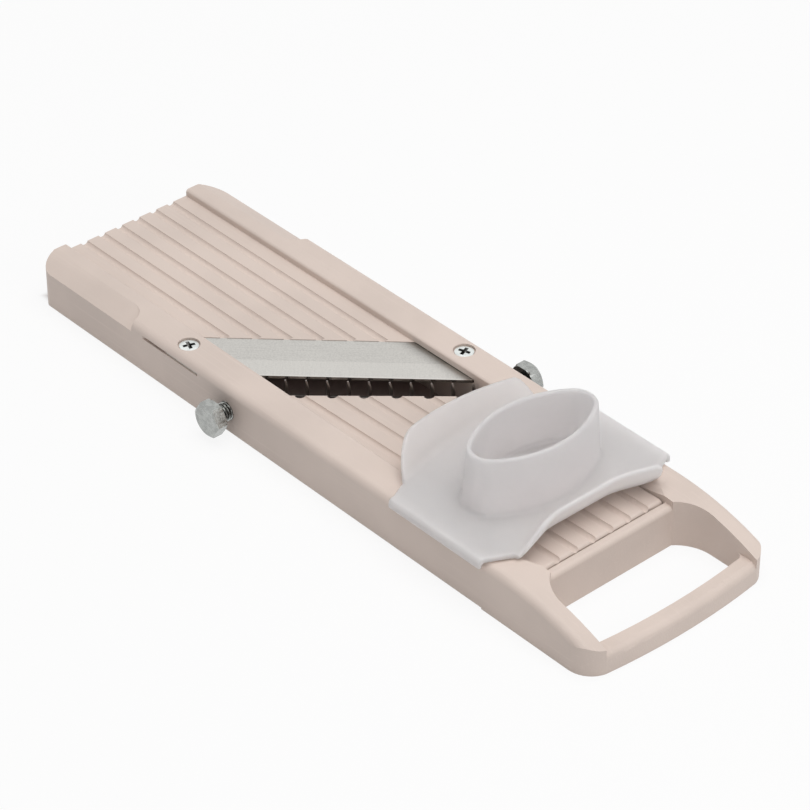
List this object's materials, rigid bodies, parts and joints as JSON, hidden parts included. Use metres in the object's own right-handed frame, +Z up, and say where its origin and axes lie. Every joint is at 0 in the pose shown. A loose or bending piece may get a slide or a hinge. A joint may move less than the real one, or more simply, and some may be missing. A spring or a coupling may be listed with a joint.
{
  "type": "mandoline slicer",
  "caption": "Hand-held kitchen mandoline with a grooved deck, skewed blade, comb blade held by side bolts, tilting feed plate, D-shaped handle and a sliding finger guard with an oval grip cup.",
  "frame": {"origin": "centre of the footprint on the surface that the slicer lies on", "axes": "+X along the body from the tail to the handle, +Y across towards the far side, +Z up"},
  "size_m": [0.324, 0.114, 0.0478],
  "materials": {
    "body_plastic": "fine matt moulded, pale pinkish beige",
    "blade_steel": "ground, satin",
    "plated_steel": "bright zinc plated",
    "brass": "turned",
    "knob_plastic": "matt moulded",
    "guard_plastic": "milky translucent moulded"
  },
  "bodies": {
    "frame": {"frame": "body_plastic", "main_blade": "blade_steel", "blade_screw_near": "plated_steel", "blade_screw_far": "plated_steel", "blade_insert_near": "brass", "blade_insert_far": "brass", "comb_blade": "blade_steel", "bolt_bush_near": "brass", "bolt_bush_far": "brass", "hinge_pin": "blade_steel", "adjuster_bridge": "blade_steel", "bridge_bush": "brass", "bridge_screws": "plated_steel"},
    "feed_plate": {"feed_plate": "body_plastic"},
    "adjuster_pad": {"adjuster_pad": "plated_steel"},
    "thumbscrew": {"thumbscrew_stud": "plated_steel", "thumbscrew_knob": "knob_plastic"},
    "clamp_bolt_near": {"clamp_bolt_near": "plated_steel"},
    "clamp_bolt_far": {"clamp_bolt_far": "plated_steel"},
    "finger_guard": {"finger_guard": "guard_plastic"}
  },
  "joints": [
    {"name": "feed_plate_tilt", "type": "hinge", "parent": "frame", "child": "feed_plate", "pos_m": [0.113, 0, 0.013], "axis": [0, 1, 0], "range_deg": [-0.8, 1.5]},
    {"name": "pad_lift", "type": "slide", "parent": "frame", "child": "adjuster_pad", "axis": [0, 0, 1], "range_m": [-0.00088, 0.00165]},
    {"name": "thumbscrew_turn", "type": "hinge", "parent": "adjuster_pad", "child": "thumbscrew", "pos_m": [0.05, 0, 0.003], "axis": [0, 0, 1], "range_deg": [-316, 593]},
    {"name": "near_bolt_slide", "type": "slide", "parent": "frame", "child": "clamp_bolt_near", "axis": [0, -1, 0], "range_m": [0, 0.008]},
    {"name": "far_bolt_slide", "type": "slide", "parent": "frame", "child": "clamp_bolt_far", "axis": [0, 1, 0], "range_m": [0, 0.008]},
    {"name": "guard_slide", "type": "slide", "parent": "frame", "child": "finger_guard", "axis": [1, 0, 0], "range_m": [-0.19, 0.005]}
  ],
  "couplings": [
    {"joint": "feed_plate_tilt", "follows": "thumbscrew_turn", "ratio": 0.002526},
    {"joint": "pad_lift", "follows": "thumbscrew_turn", "m_per_rad": 0.00015915}
  ]
}
